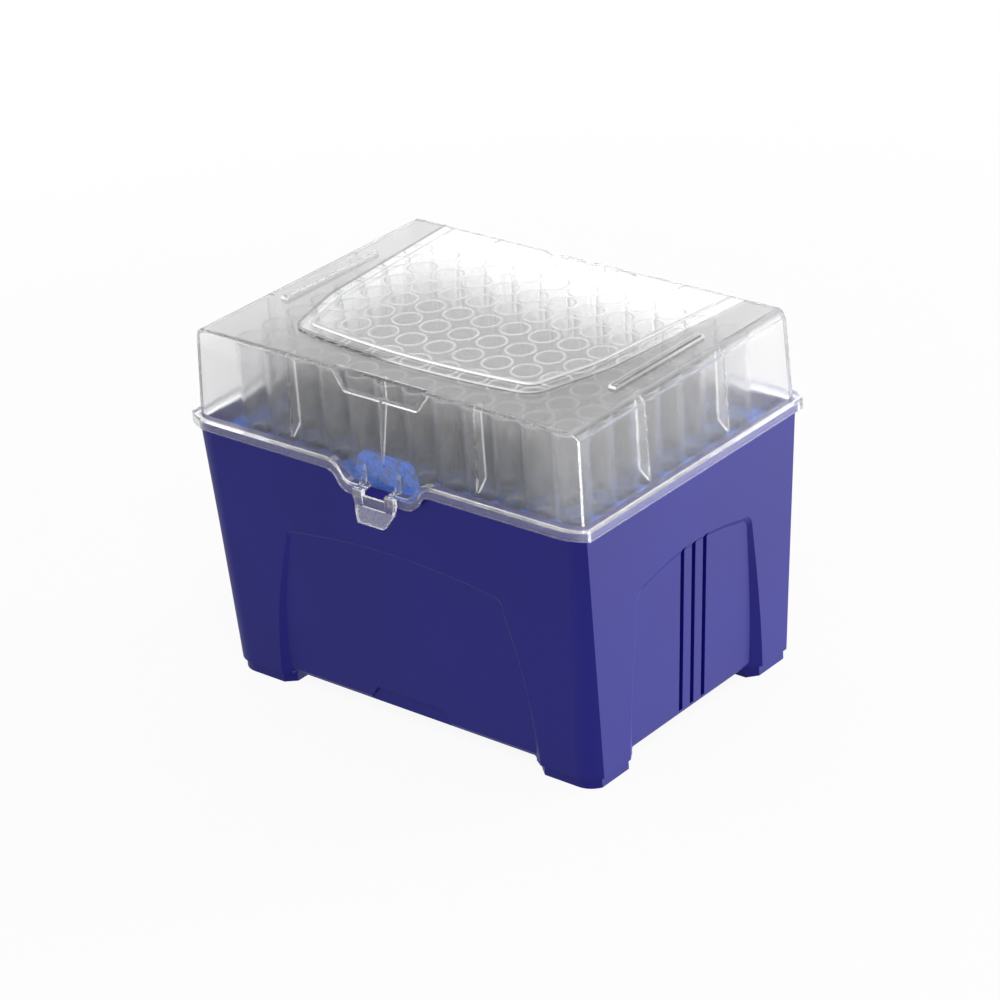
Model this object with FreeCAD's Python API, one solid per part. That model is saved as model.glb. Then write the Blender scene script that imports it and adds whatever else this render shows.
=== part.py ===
"""Box of pipette tips: tall base, lift-out rack plate, 96 tips, hinged clear lid and front latch.

Millimetres, +Z up. The origin is on the table under the middle of the box. The long sides run
along X, the latch is on the -Y side and the hinges are on the +Y side.
"""
import FreeCAD, Part
import math
import os
from collections import namedtuple
from FreeCAD import Vector

# ---------------------------------------------------------------- driving dimensions

# Tip pattern: everything in plan is a margin round this field
TIP_PITCH = 9.0
TIP_COLUMNS = 12
TIP_ROWS = 8

# One tip: a collar that stands on the rack plate and a tapered stem below it
COLLAR_HEIGHT = 24.0
COLLAR_MOUTH_RADIUS = 4.0
COLLAR_SEAT_RADIUS = 3.85
COLLAR_WALL = 0.6
STEM_LENGTH = 58.3
STEM_RADIUS = 3.1
STEM_WALL = 0.6
POINT_RADIUS = 0.65
POINT_BORE_RADIUS = 0.35
POINT_TO_FLOOR = 2.7

# Base: walls that widen slightly from foot to rim
BODY_FOOT_MARGIN_X = 4.6
BODY_FOOT_MARGIN_Y = 5.2
BODY_FOOT_CORNER_RUN = 5.9
BODY_FOOT_CORNER_RISE = 3.6
BODY_RIM_MARGIN_X = 7.0
BODY_RIM_MARGIN_Y = 6.9
BODY_RIM_CORNER_RUN = 4.4
BODY_RIM_CORNER_RISE = 1.3
BODY_WALL = 1.6
WELL_FOOT_WALL_X = 4.5
WELL_FOOT_WALL_Y = 3.1
WELL_LEDGE_WALL_X = 3.0
WELL_LEDGE_WALL_Y = 3.1
WELL_CORNER_RUN = 4.0
WELL_CORNER_RISE = 1.5
RIM_ABOVE_PLATE = 4.5
RIM_BEAD_HEIGHT = 1.4

# Feet: pads under the four corners, hollow from above
FOOT_HEIGHT = 2.9
FOOT_INSET = 0.9
FOOT_LENGTH = 18.0
FOOT_BREADTH = 16.0
FOOT_WALL = 1.6
FOOT_CHAMFER_LONG = 2.7
FOOT_CHAMFER_SHORT = 2.3
FLOOR_LIFT = 0.8
FLOOR_THICKNESS = 1.6

# Sunk arch panels on the four walls
SIDE_ARCH_FOOT_MARGIN = 16.6
SIDE_ARCH_FOOT_TO_WAIST = 2.1
SIDE_ARCH_FOOT_TO_SHOULDER = 7.2
SIDE_ARCH_CORNER_RUN = 1.8
SIDE_ARCH_CORNER_RISE = 2.6
SIDE_ARCH_CROWN_RISE = 2.6
SIDE_ARCH_BELOW_RIM = 21.6
SIDE_PANEL_FOOT_DEPTH = 1.5
SIDE_PANEL_CROWN_DEPTH = 0.35
END_ARCH_FOOT_MARGIN = 14.0
END_ARCH_FOOT_TO_WAIST = 1.3
END_ARCH_FOOT_TO_SHOULDER = 3.8
END_ARCH_CORNER_RUN = 3.5
END_ARCH_CORNER_RISE = 2.2
END_ARCH_CROWN_RISE = 2.5
END_ARCH_BELOW_RIM = 20.3
END_PANEL_FOOT_DEPTH = 1.95
END_PANEL_CROWN_DEPTH = 0.5
PANEL_FLANK_SLOPE = 1.6
PANEL_BEVEL_HEIGHT = 1.1
PANEL_BEVEL_DEPTH = 0.6
NOTCH_HALF_BOTTOM = 13.4
NOTCH_HALF_TOP = 10.4
NOTCH_HEIGHT = 4.3
NOTCH_DEPTH = 0.8
NOTCH_CORNER = 1.0
GROOVE_COUNT = 3
GROOVE_PITCH = 4.5
GROOVE_WIDTH = 1.5
GROOVE_DEPTH = 1.3
GROOVE_FOOT = 1.3

# Rack plate
PLATE_THICKNESS = 1.6
PLATE_CLEARANCE = 0.3
HOLE_CLEARANCE = 0.25
TAB_HALF_FOOT = 11.3
TAB_HALF_TOP = 7.9
TAB_HEIGHT = 8.2
TAB_THICKNESS = 1.2
TAB_CORNER = 2.5
PIP_COUNT = 3
PIP_PITCH = 5.3
PIP_RADIUS = 0.9
PIP_HEIGHT = 0.3
PIP_BELOW_TAB_TOP = 2.6

# Lid: hood, flange with skirt
FLANGE_MARGIN_X = 8.75
FLANGE_MARGIN_Y = 9.0
FLANGE_CORNER_RUN = 8.2
FLANGE_CORNER_RISE = 2.8
FLANGE_THICKNESS = 1.2
FLANGE_SEAT_GAP = 0.2
SKIRT_DROP = 3.0
SKIRT_WALL = 1.2
SKIRT_CLEARANCE = 0.4
LID_FOOT_MARGIN_X = 6.4
LID_FOOT_MARGIN_Y = 6.6
LID_HEAD_MARGIN_X = 5.75
LID_HEAD_MARGIN_Y = 5.6
LID_CORNER_RUN = 5.0
LID_CORNER_RISE = 1.2
LID_WALL = 1.2
LID_HEADROOM = 3.7
LID_END_RUN = 4.3
LID_END_DROP = 2.3
LID_SIDE_ROUND = 1.0

# Dip of the rim, flange and skirt at the middle of the front; each surface below the flange's
# top dips a little wider than the one above it
DIP_DEPTH = 5.0
DIP_HALF_TOP = 16.0
DIP_HALF_BOTTOM = 8.2
DIP_SPREAD = 0.3

# Clear window, raised in two low terraces on top of the lid
WINDOW_BACK_MARGIN = 1.0
WINDOW_END_MARGIN = 11.75
WINDOW_KNEE_MARGIN = 15.95
WINDOW_KNEE_FROM_FRONT = 32.6
WINDOW_CORNER_MARGIN = 22.0
WINDOW_CORNER_FROM_FRONT = 12.1
WINDOW_CROWN_FROM_FRONT = 9.1
WINDOW_CORNER_ROUND = 7.0
WINDOW_KNEE_ROUND = 25.0
WINDOW_BORDER = 3.7
WINDOW_BORDER_BACK = 6.5
WINDOW_STEP_FRONT = 0.5
WINDOW_STEP_BACK = 0.3

# Stacking bars on top of the lid
BAR_MARGIN = 7.25
BAR_WIDTH = 2.2
BAR_LENGTH = 34.5
BAR_HEIGHT = 1.1
BAR_CHAMFER = 0.35

# Finger pockets in the lid's long top edges, with grip ribs in the back one
POCKET_HALF_TOP = 14.7
POCKET_HALF_BOTTOM = 11.0
POCKET_HEIGHT = 5.1
POCKET_DEPTH = 1.2
GRIP_COUNT = 5
GRIP_PITCH = 4.0
GRIP_WIDTH = 1.7
GRIP_HEIGHT = 4.2
GRIP_DEPTH = 0.7

# Stiffening fins inside the lid
FIN_THICKNESS = 0.9
SIDE_FIN_X = 29.2
SIDE_FIN_DEPTH = 2.1
END_FIN_Y = 15.6
END_FIN_DEPTH = 2.2
FIN_STRAIGHT = 18.5
FIN_TAPER = 2.5
GUSSET_DEPTH = 1.9
GUSSET_HEIGHT = 17.0

# Hinges: pegs between ears on the base, clips on the lid
HINGE_X = 28.0
HINGE_OUTSTAND = 1.1
HINGE_BELOW_SKIRT = 2.2
PEG_RADIUS = 1.1
PEG_CLEARANCE = 0.3
CLIP_WALL = 0.8
CLIP_WIDTH = 7.0
CLIP_MOUTH = 1.8
EAR_RADIUS = 1.9
EAR_THICKNESS = 2.2
EAR_CLEARANCE = 0.3
EAR_ROOT_DROP = 6.0

# Latch: a clip that swings in front of the skirt and hooks under the catch of the base
LATCH_GAP = 0.2
LATCH_THICKNESS = 1.5
LATCH_HALF_WIDTH = 6.4
LATCH_HALF_WAIST = 5.5
LATCH_HALF_LIP = 4.1
LATCH_SHOULDER_DROP = 2.4
LATCH_BEND_DROP = 4.3
LATCH_WAIST_DROP = 5.4
LATCH_LIP_DROP = 8.0
LATCH_LIP_REACH = 1.6
LATCH_LIP_THICKNESS = 1.3
LATCH_WINDOW_HALF = 3.65
LATCH_BAR_DROP = 1.8
LATCH_PANEL_DEPTH = 0.5
CATCH_SIDE_GAP = 0.35
CATCH_BAR_GAP = 0.15
CATCH_HOOK = 0.4
CATCH_HEIGHT = 1.25
CATCH_ROOT_DROP = 1.6
BLADE_X = 5.35
BLADE_THICKNESS = 1.0
BLADE_ABOVE_FLANGE = 1.2
BLADE_HOLLOW = 0.45

# Longer than any piece, for cutting shapes that run right through
FAR = 100.0

# ---------------------------------------------------------------- heights that follow

FLOOR_UNDERSIDE = FOOT_HEIGHT + FLOOR_LIFT
FLOOR_TOP = FLOOR_UNDERSIDE + FLOOR_THICKNESS
PLATE_TOP = FLOOR_TOP + POINT_TO_FLOOR + STEM_LENGTH
PLATE_LEDGE = PLATE_TOP - PLATE_THICKNESS
RIM_TOP = PLATE_TOP + RIM_ABOVE_PLATE
FLANGE_UNDERSIDE = RIM_TOP + FLANGE_SEAT_GAP
FLANGE_TOP = FLANGE_UNDERSIDE + FLANGE_THICKNESS
SKIRT_BOTTOM = FLANGE_TOP - SKIRT_DROP
LID_TOP = PLATE_TOP + COLLAR_HEIGHT + LID_HEADROOM + LID_WALL

# ---------------------------------------------------------------- plan outlines

# Straight long sides and flat end faces. A corner arc leaves each long side smoothly and meets
# the end face in a crisp upright edge: run is its length along X, rise its turn along Y.
Plan = namedtuple("Plan", "half_length half_width run rise")


def plan_round_tips(margin_x, margin_y, run, rise):
    half_length = TIP_COLUMNS * TIP_PITCH / 2 + margin_x
    half_width = TIP_ROWS * TIP_PITCH / 2 + margin_y
    return Plan(half_length, half_width, run, rise)


def corner_radius(plan):
    return (plan.run ** 2 + plan.rise ** 2) / (2 * plan.rise)


def inset(plan, distance):
    """The outline moved inwards, its corner arcs keeping their centres."""
    radius = corner_radius(plan) - distance
    run = plan.run - distance
    rise = radius - math.sqrt(radius ** 2 - run ** 2)
    return Plan(plan.half_length - distance, plan.half_width - distance, run, rise)


def blend(lower, upper, share):
    return Plan(*[low + (high - low) * share for low, high in zip(lower, upper)])


BODY_FOOT = plan_round_tips(
    BODY_FOOT_MARGIN_X, BODY_FOOT_MARGIN_Y, BODY_FOOT_CORNER_RUN, BODY_FOOT_CORNER_RISE)
BODY_RIM = plan_round_tips(
    BODY_RIM_MARGIN_X, BODY_RIM_MARGIN_Y, BODY_RIM_CORNER_RUN, BODY_RIM_CORNER_RISE)
FLANGE = plan_round_tips(
    FLANGE_MARGIN_X, FLANGE_MARGIN_Y, FLANGE_CORNER_RUN, FLANGE_CORNER_RISE)
LID_FOOT = plan_round_tips(
    LID_FOOT_MARGIN_X, LID_FOOT_MARGIN_Y, LID_CORNER_RUN, LID_CORNER_RISE)
LID_HEAD = plan_round_tips(
    LID_HEAD_MARGIN_X, LID_HEAD_MARGIN_Y, LID_CORNER_RUN, LID_CORNER_RISE)
SKIRT_INSIDE = inset(FLANGE, SKIRT_WALL)
BEAD = inset(SKIRT_INSIDE, SKIRT_CLEARANCE)


def body_plan(z):
    """Outline of the base's walls at a height."""
    return blend(BODY_FOOT, BODY_RIM, (z - FOOT_HEIGHT) / (RIM_TOP - FOOT_HEIGHT))


def lid_plan(z):
    """Outline of the lid's walls at a height."""
    return blend(LID_FOOT, LID_HEAD, (z - FLANGE_TOP) / (LID_TOP - FLANGE_TOP))


def well_plan(z, wall_x, wall_y):
    """Outline of the base's inside at a height, for walls of the given thickness."""
    outside = body_plan(z)
    return Plan(outside.half_length - wall_x, outside.half_width - wall_y,
                WELL_CORNER_RUN, WELL_CORNER_RISE)


# ---------------------------------------------------------------- drawing helpers

def line(start, end):
    return Part.LineSegment(start, end).toShape()


def arc(start, middle, end):
    return Part.Arc(start, middle, end).toShape()


def plan_wire(plan, z):
    """Closed wire of a plan outline at a height."""
    length, width, run, rise = plan
    radius = corner_radius(plan)
    half_turn = math.asin(run / radius) / 2
    straight = length - run
    crisp = width - rise
    middle_x = straight + radius * math.sin(half_turn)
    middle_y = width - radius * (1 - math.cos(half_turn))

    def at(x, y):
        return Vector(x, y, z)

    return Part.Wire([
        line(at(-straight, -width), at(straight, -width)),
        arc(at(straight, -width), at(middle_x, -middle_y), at(length, -crisp)),
        line(at(length, -crisp), at(length, crisp)),
        arc(at(length, crisp), at(middle_x, middle_y), at(straight, width)),
        line(at(straight, width), at(-straight, width)),
        arc(at(-straight, width), at(-middle_x, middle_y), at(-length, crisp)),
        line(at(-length, crisp), at(-length, -crisp)),
        arc(at(-length, -crisp), at(-middle_x, -middle_y), at(-straight, -width)),
    ])


def tapered(lower, z_lower, upper, z_upper):
    """Solid between two plan outlines."""
    return Part.makeLoft([plan_wire(lower, z_lower), plan_wire(upper, z_upper)], True, True)


def upright(plan, z_lower, z_upper):
    """Solid with one plan outline from one height to another."""
    return Part.Face(plan_wire(plan, z_lower)).extrude(Vector(0, 0, z_upper - z_lower))


def along_x(points, x_low, x_high):
    """Prism along X from (y, z) points."""
    corners = [Vector(x_low, y, z) for y, z in points]
    return Part.Face(Part.makePolygon(corners + corners[:1])).extrude(Vector(x_high - x_low, 0, 0))


def along_y(points, y_low, y_high):
    """Prism along Y from (x, z) points."""
    corners = [Vector(x, y_low, z) for x, z in points]
    return Part.Face(Part.makePolygon(corners + corners[:1])).extrude(Vector(0, y_high - y_low, 0))


def block(x_low, x_high, y_low, y_high, z_low, z_high):
    return Part.makeBox(x_high - x_low, y_high - y_low, z_high - z_low, Vector(x_low, y_low, z_low))


def rod(radius, x_low, x_high, y, z):
    """Round bar along X."""
    return Part.makeCylinder(radius, x_high - x_low, Vector(x_low, y, z), Vector(1, 0, 0))


def both_sides(shape):
    """A shape and its image on the other long side."""
    return [shape, shape.mirror(Vector(0, 0, 0), Vector(0, 1, 0))]


def both_ends(shape):
    """A shape and its image at the other end."""
    return [shape, shape.mirror(Vector(0, 0, 0), Vector(1, 0, 0))]


def four_corners(shape):
    return [image for half in both_ends(shape) for image in both_sides(half)]


def evenly(count, pitch):
    """Positions of a row centred on zero."""
    return [(index - (count - 1) / 2) * pitch for index in range(count)]


def upright_edges(solid, x, y):
    """The solid's vertical edges at (x, y) and at (-x, y)."""
    chosen = []
    for edge in solid.Edges:
        bounds = edge.BoundBox
        slim = max(bounds.XLength, bounds.YLength) < 0.01
        if slim and abs(abs(bounds.XMin) - x) < 0.01 and abs(bounds.YMin - y) < 0.01:
            chosen.append(edge)
    return chosen


# ---------------------------------------------------------------- the dip at the front

def dip(level, spread, y_low, y_high):
    """The space between a level surface and the same surface where it dips at the front."""
    top = DIP_HALF_TOP + spread
    low = DIP_HALF_BOTTOM + spread
    run = top - low
    radius = (run ** 2 + DIP_DEPTH ** 2) / (4 * DIP_DEPTH)
    half_turn = math.atan2(DIP_DEPTH, run)
    across = radius * math.sin(half_turn)
    down = radius * (1 - math.cos(half_turn))
    floor = level - DIP_DEPTH

    def at(x, z):
        return Vector(x, y_low, z)

    edges = [line(at(-low, floor), at(low, floor))]
    for side in (1, -1):
        turn = at(side * (top + low) / 2, level - DIP_DEPTH / 2)
        lower = arc(at(side * low, floor), at(side * (low + across), floor + down), turn)
        upper = arc(turn, at(side * (top - across), level - down), at(side * top, level))
        edges += [lower, upper]
    edges.append(line(at(top, level), at(-top, level)))
    wire = Part.Wire(Part.__sortEdges__(edges))
    return Part.Face(wire).extrude(Vector(0, y_high - y_low, 0))


# ---------------------------------------------------------------- base

Arch = namedtuple("Arch", "foot waist shoulder shoulder_height run rise crown")


def arch_wire(arch, offset, y):
    """Arch outline on a plane facing -Y, made smaller by an offset, open well below the floor."""
    foot = arch.foot - offset
    waist = arch.waist - offset
    shoulder = arch.shoulder - offset
    height = arch.shoulder_height - offset
    spring = shoulder - arch.run
    spring_height = height + arch.rise
    bulge = math.sqrt(0.5)
    corner_x = spring + arch.run * bulge
    corner_z = height + arch.rise * bulge
    middle = (FLOOR_UNDERSIDE + arch.shoulder_height) / 2

    def at(x, z):
        return Vector(x, y, z)

    edges = [line(at(-foot, -FOOT_HEIGHT), at(foot, -FOOT_HEIGHT))]
    for side in (1, -1):
        edges += [
            line(at(side * foot, -FOOT_HEIGHT), at(side * foot, FLOOR_UNDERSIDE)),
            arc(at(side * foot, FLOOR_UNDERSIDE), at(side * waist, middle),
                at(side * shoulder, height)),
            arc(at(side * shoulder, height), at(side * corner_x, corner_z),
                at(side * spring, spring_height)),
        ]
    edges.append(arc(at(spring, spring_height), at(0, arch.crown - offset),
                     at(-spring, spring_height)))
    return Part.Wire(Part.__sortEdges__(edges))


def arch_panel(arch, wall_foot, wall_crown, foot_depth, crown_depth):
    """What is removed to sink a leaning arch panel into a wall that faces -Y."""
    lean = ((wall_crown - crown_depth) - (wall_foot - foot_depth)) / (arch.crown - FLOOR_UNDERSIDE)
    surface = (wall_foot + wall_crown) / 2
    spread = PANEL_FLANK_SLOPE * (wall_crown - wall_foot) / 2
    level = arch._replace(
        foot=arch.foot + spread, shoulder=arch.shoulder - spread,
        shoulder_height=arch.shoulder_height - spread, crown=arch.crown - spread)
    outside = arch_wire(level, -PANEL_FLANK_SLOPE * 2, -(surface + 2))
    inside = arch_wire(level, PANEL_FLANK_SLOPE * 5, -(surface - 5))
    flanks = Part.makeLoft([outside, inside], True, True)

    def face_y(z):
        return -(wall_foot - foot_depth + lean * (z - FLOOR_UNDERSIDE))

    bevel_top = FLOOR_UNDERSIDE + PANEL_BEVEL_HEIGHT
    bevel_y = face_y(FLOOR_UNDERSIDE) + PANEL_BEVEL_DEPTH
    above = arch.crown + arch.rise + 2
    before = along_x([
        (bevel_y, -FOOT_HEIGHT), (bevel_y, FLOOR_UNDERSIDE), (face_y(bevel_top), bevel_top),
        (face_y(above), above), (-FAR, above), (-FAR, -FOOT_HEIGHT)], -FAR, FAR)
    return flanks.common(before), face_y


def side_panel():
    """Panel of a long side, with the shallow notch at the middle of its foot."""
    foot = BODY_FOOT.half_length - SIDE_ARCH_FOOT_MARGIN
    shoulder_height = RIM_TOP - SIDE_ARCH_BELOW_RIM - SIDE_ARCH_CROWN_RISE - SIDE_ARCH_CORNER_RISE
    arch = Arch(foot, foot - SIDE_ARCH_FOOT_TO_WAIST, foot - SIDE_ARCH_FOOT_TO_SHOULDER,
                shoulder_height, SIDE_ARCH_CORNER_RUN, SIDE_ARCH_CORNER_RISE,
                RIM_TOP - SIDE_ARCH_BELOW_RIM)
    panel, face_y = arch_panel(
        arch, BODY_FOOT.half_width, body_plan(arch.crown).half_width,
        SIDE_PANEL_FOOT_DEPTH, SIDE_PANEL_CROWN_DEPTH)
    notch_top = FLOOR_UNDERSIDE + NOTCH_HEIGHT
    slope = (NOTCH_HALF_BOTTOM - NOTCH_HALF_TOP) / NOTCH_HEIGHT
    half_low = NOTCH_HALF_BOTTOM + slope * FLOOR_UNDERSIDE
    notch = along_y([(-half_low, 0), (half_low, 0), (NOTCH_HALF_TOP, notch_top),
                     (-NOTCH_HALF_TOP, notch_top)], -FAR, face_y(notch_top) + NOTCH_DEPTH)
    corners = [edge for edge in notch.Edges if edge.Length > FAR / 2
               and abs(edge.Vertexes[0].Point.z - notch_top) < 0.01
               and abs(edge.Vertexes[1].Point.z - notch_top) < 0.01]
    return panel.fuse(notch.makeFillet(NOTCH_CORNER, corners))


def end_panel():
    """Panel of an end wall with its three upright grooves, facing +X."""
    foot = BODY_FOOT.half_width - END_ARCH_FOOT_MARGIN
    shoulder_height = RIM_TOP - END_ARCH_BELOW_RIM - END_ARCH_CROWN_RISE - END_ARCH_CORNER_RISE
    arch = Arch(foot, foot - END_ARCH_FOOT_TO_WAIST, foot - END_ARCH_FOOT_TO_SHOULDER,
                shoulder_height, END_ARCH_CORNER_RUN, END_ARCH_CORNER_RISE,
                RIM_TOP - END_ARCH_BELOW_RIM)
    panel, face_y = arch_panel(
        arch, BODY_FOOT.half_length, body_plan(arch.crown).half_length,
        END_PANEL_FOOT_DEPTH, END_PANEL_CROWN_DEPTH)
    low = FLOOR_UNDERSIDE + GROOVE_FOOT
    high = arch.crown - GROOVE_DEPTH
    profile = [(face_y(low) + GROOVE_DEPTH, low), (face_y(high) + GROOVE_DEPTH, high),
               (face_y(high), arch.crown), (-FAR, arch.crown), (-FAR, low)]
    grooves = [along_x(profile, x - GROOVE_WIDTH / 2, x + GROOVE_WIDTH / 2)
               for x in evenly(GROOVE_COUNT, GROOVE_PITCH)]
    cutter = panel.fuse(grooves)
    cutter.rotate(Vector(0, 0, 0), Vector(0, 0, 1), 90)
    return cutter


def foot():
    """Pad under the +X, -Y corner, with the pocket that hollows it from the well."""
    plan = inset(BODY_FOOT, FOOT_INSET)
    start_x = plan.half_length - FOOT_LENGTH
    start_y = -plan.half_width + FOOT_BREADTH
    corners = [
        Vector(start_x + FOOT_CHAMFER_LONG, -FAR, 0),
        Vector(start_x + FOOT_CHAMFER_LONG, -plan.half_width, 0),
        Vector(start_x, -plan.half_width + FOOT_CHAMFER_SHORT, 0),
        Vector(start_x, start_y, 0),
        Vector(plan.half_length - FOOT_CHAMFER_SHORT, start_y, 0),
        Vector(plan.half_length, start_y - FOOT_CHAMFER_LONG, 0),
        Vector(FAR, start_y - FOOT_CHAMFER_LONG, 0),
        Vector(FAR, -FAR, 0),
    ]
    field = Part.Face(Part.makePolygon(corners + corners[:1]))
    pad = Part.Face(plan_wire(plan, 0)).common(field).Faces[0]
    pocket = pad.makeOffset2D(-FOOT_WALL).extrude(Vector(0, 0, FLOOR_TOP - FLOOR_THICKNESS))
    pocket.translate(Vector(0, 0, FLOOR_THICKNESS))
    return pad.extrude(Vector(0, 0, FOOT_HEIGHT)), pocket


def hinge_ears(hinge_y, hinge_z):
    """Two ears and the peg between them for the hinge at +X."""
    clear = CLIP_WIDTH / 2 + EAR_CLEARANCE
    root = BODY_RIM.half_width - BODY_WALL / 2
    web = [(hinge_y, hinge_z + EAR_RADIUS), (root, hinge_z + EAR_RADIUS),
           (root, hinge_z - EAR_RADIUS - EAR_ROOT_DROP), (hinge_y, hinge_z - EAR_RADIUS)]
    parts = [rod(PEG_RADIUS, HINGE_X - clear, HINGE_X + clear, hinge_y, hinge_z)]
    for x in (HINGE_X - clear - EAR_THICKNESS, HINGE_X + clear):
        parts.append(along_x(web, x, x + EAR_THICKNESS))
        parts.append(rod(EAR_RADIUS, x, x + EAR_THICKNESS, hinge_y, hinge_z))
    return parts


def catch(back, pivot_z):
    """Wedge on the rim that the latch's bar hooks under."""
    half = LATCH_WINDOW_HALF - CATCH_SIDE_GAP
    underside = pivot_z - LATCH_BAR_DROP + LATCH_THICKNESS / 2 + CATCH_BAR_GAP
    nose = back - CATCH_HOOK
    rim = RIM_TOP - DIP_DEPTH
    root = -BODY_RIM.half_width
    face = -BEAD.half_width
    return along_x([
        (root, rim), (face, rim), (face, underside + CATCH_HEIGHT),
        (face - 0.9, underside + CATCH_HEIGHT), (nose, underside + CATCH_HEIGHT / 2),
        (nose, underside), (nose + 0.6, underside), (face, underside - CATCH_ROOT_DROP),
        (root, underside - CATCH_ROOT_DROP)], -half, half)


def make_base(hinge_y, hinge_z, latch_back, latch_pivot_z):
    body = tapered(BODY_FOOT, FOOT_HEIGHT, BODY_RIM, RIM_TOP)
    pad, pocket = foot()
    bead_bottom = RIM_TOP - RIM_BEAD_HEIGHT
    bead = upright(BEAD, bead_bottom, RIM_TOP)
    bead_dip = upright(BEAD, bead_bottom - DIP_DEPTH, bead_bottom).common(
        dip(bead_bottom, 3 * DIP_SPREAD, -FAR, -BODY_FOOT.half_width + BODY_WALL))
    ears = [image for part in hinge_ears(hinge_y, hinge_z) for image in both_ends(part)]
    solid = body.fuse([bead, bead_dip] + four_corners(pad) + ears)

    lower = tapered(well_plan(FLOOR_TOP, WELL_FOOT_WALL_X, WELL_FOOT_WALL_Y), FLOOR_TOP,
                    well_plan(PLATE_LEDGE, WELL_LEDGE_WALL_X, WELL_LEDGE_WALL_Y), PLATE_LEDGE)
    upper = tapered(well_plan(PLATE_LEDGE, BODY_WALL, BODY_WALL), PLATE_LEDGE,
                    well_plan(RIM_TOP, BODY_WALL, BODY_WALL), RIM_TOP)
    between = inset(BODY_FOOT, FOOT_INSET)
    lift_x = between.half_length - FOOT_LENGTH
    lift_y = between.half_width - FOOT_BREADTH
    cuts = [lower, upper, dip(RIM_TOP, 2 * DIP_SPREAD, -FAR, 0)]
    cuts.append(block(-lift_x, lift_x, -FAR, FAR, 0, FLOOR_UNDERSIDE))
    cuts.append(block(-FAR, FAR, -lift_y, lift_y, 0, FLOOR_UNDERSIDE))
    cuts += four_corners(pocket)
    cuts += both_sides(side_panel())
    cuts += both_ends(end_panel())
    return solid.cut(cuts).fuse(catch(latch_back, latch_pivot_z)).removeSplitter()


# ---------------------------------------------------------------- rack plate and tips

def tip_spots():
    for x in evenly(TIP_COLUMNS, TIP_PITCH):
        for y in evenly(TIP_ROWS, TIP_PITCH):
            yield x, y


def make_rack_plate():
    """Plate on the base's ledge, a hole for every tip and a tab at the front to lift it by."""
    plan = well_plan(PLATE_LEDGE, BODY_WALL + PLATE_CLEARANCE, BODY_WALL + PLATE_CLEARANCE)
    plate = upright(plan, PLATE_LEDGE, PLATE_TOP)
    radius = STEM_RADIUS + HOLE_CLEARANCE
    holes = [Part.makeCylinder(radius, PLATE_THICKNESS, Vector(x, y, PLATE_LEDGE))
             for x, y in tip_spots()]
    front = -plan.half_width
    top = PLATE_TOP + TAB_HEIGHT
    tab = along_y([(-TAB_HALF_FOOT, PLATE_LEDGE), (TAB_HALF_FOOT, PLATE_LEDGE),
                   (TAB_HALF_TOP, top), (-TAB_HALF_TOP, top)], front, front + TAB_THICKNESS)
    corners = [edge for edge in tab.Edges
               if all(abs(vertex.Point.z - top) < 0.01 for vertex in edge.Vertexes)
               and abs(edge.Length - TAB_THICKNESS) < 0.01]
    tab = tab.makeFillet(TAB_CORNER, corners)
    pips = [Part.makeCylinder(PIP_RADIUS, PIP_HEIGHT, Vector(x, front, top - PIP_BELOW_TAB_TOP),
                              Vector(0, -1, 0)) for x in evenly(PIP_COUNT, PIP_PITCH)]
    return plate.cut(holes).fuse([tab] + pips).removeSplitter()


def make_tip():
    """Open collar, shoulder that rests on the plate, tapered stem down to the open point."""
    top = PLATE_TOP + COLLAR_HEIGHT
    point = PLATE_TOP - STEM_LENGTH
    throat = PLATE_TOP + COLLAR_WALL
    profile = [
        (COLLAR_MOUTH_RADIUS - COLLAR_WALL, top), (COLLAR_MOUTH_RADIUS, top),
        (COLLAR_SEAT_RADIUS, PLATE_TOP), (STEM_RADIUS, PLATE_TOP), (POINT_RADIUS, point),
        (POINT_BORE_RADIUS, point), (STEM_RADIUS - STEM_WALL, PLATE_TOP),
        (COLLAR_SEAT_RADIUS - COLLAR_WALL, throat)]
    corners = [Vector(radius, 0, z) for radius, z in profile]
    face = Part.Face(Part.makePolygon(corners + corners[:1]))
    return face.revolve(Vector(0, 0, 0), Vector(0, 0, 1), 360)


def make_tip_column(tip, x):
    """The eight tips picked up together by an eight-channel pipette."""
    column = []
    for y in evenly(TIP_ROWS, TIP_PITCH):
        one = tip.copy()
        one.translate(Vector(x, y, 0))
        column.append(one)
    return Part.makeCompound(column)


# ---------------------------------------------------------------- lid

def below_round(half, top, run, drop, ends):
    """Everything under the rounded top edges of the hood, across its ends or its long sides."""
    low = top - drop
    bulge = math.sqrt(0.5)

    def at(across, z):
        return Vector(across, -FAR, z) if ends else Vector(-FAR, across, z)

    edges = [line(at(-FAR, low), at(-FAR, 0)), line(at(-FAR, 0), at(FAR, 0)),
             line(at(FAR, 0), at(FAR, low)), line(at(half - run, top), at(run - half, top))]
    for side in (1, -1):
        edges.append(line(at(side * FAR, low), at(side * half, low)))
        edges.append(arc(at(side * half, low),
                         at(side * (half - run + run * bulge), low + drop * bulge),
                         at(side * (half - run), top)))
    along = Vector(0, 2 * FAR, 0) if ends else Vector(2 * FAR, 0, 0)
    return Part.Face(Part.Wire(Part.__sortEdges__(edges))).extrude(along)


def hood(distance, z_low):
    """The lid's hood from a height up to its top, moved inwards by a distance."""
    top = LID_TOP - distance
    solid = tapered(inset(lid_plan(z_low), distance), z_low, inset(lid_plan(top), distance), top)
    drop = LID_END_DROP - distance
    solid = solid.common(below_round(
        lid_plan(top - drop).half_length - distance, top, LID_END_RUN - distance, drop, True))
    if distance < LID_SIDE_ROUND:
        radius = LID_SIDE_ROUND - distance
        solid = solid.common(below_round(
            lid_plan(top - radius).half_width - distance, top, radius, radius, False))
    return solid


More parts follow.
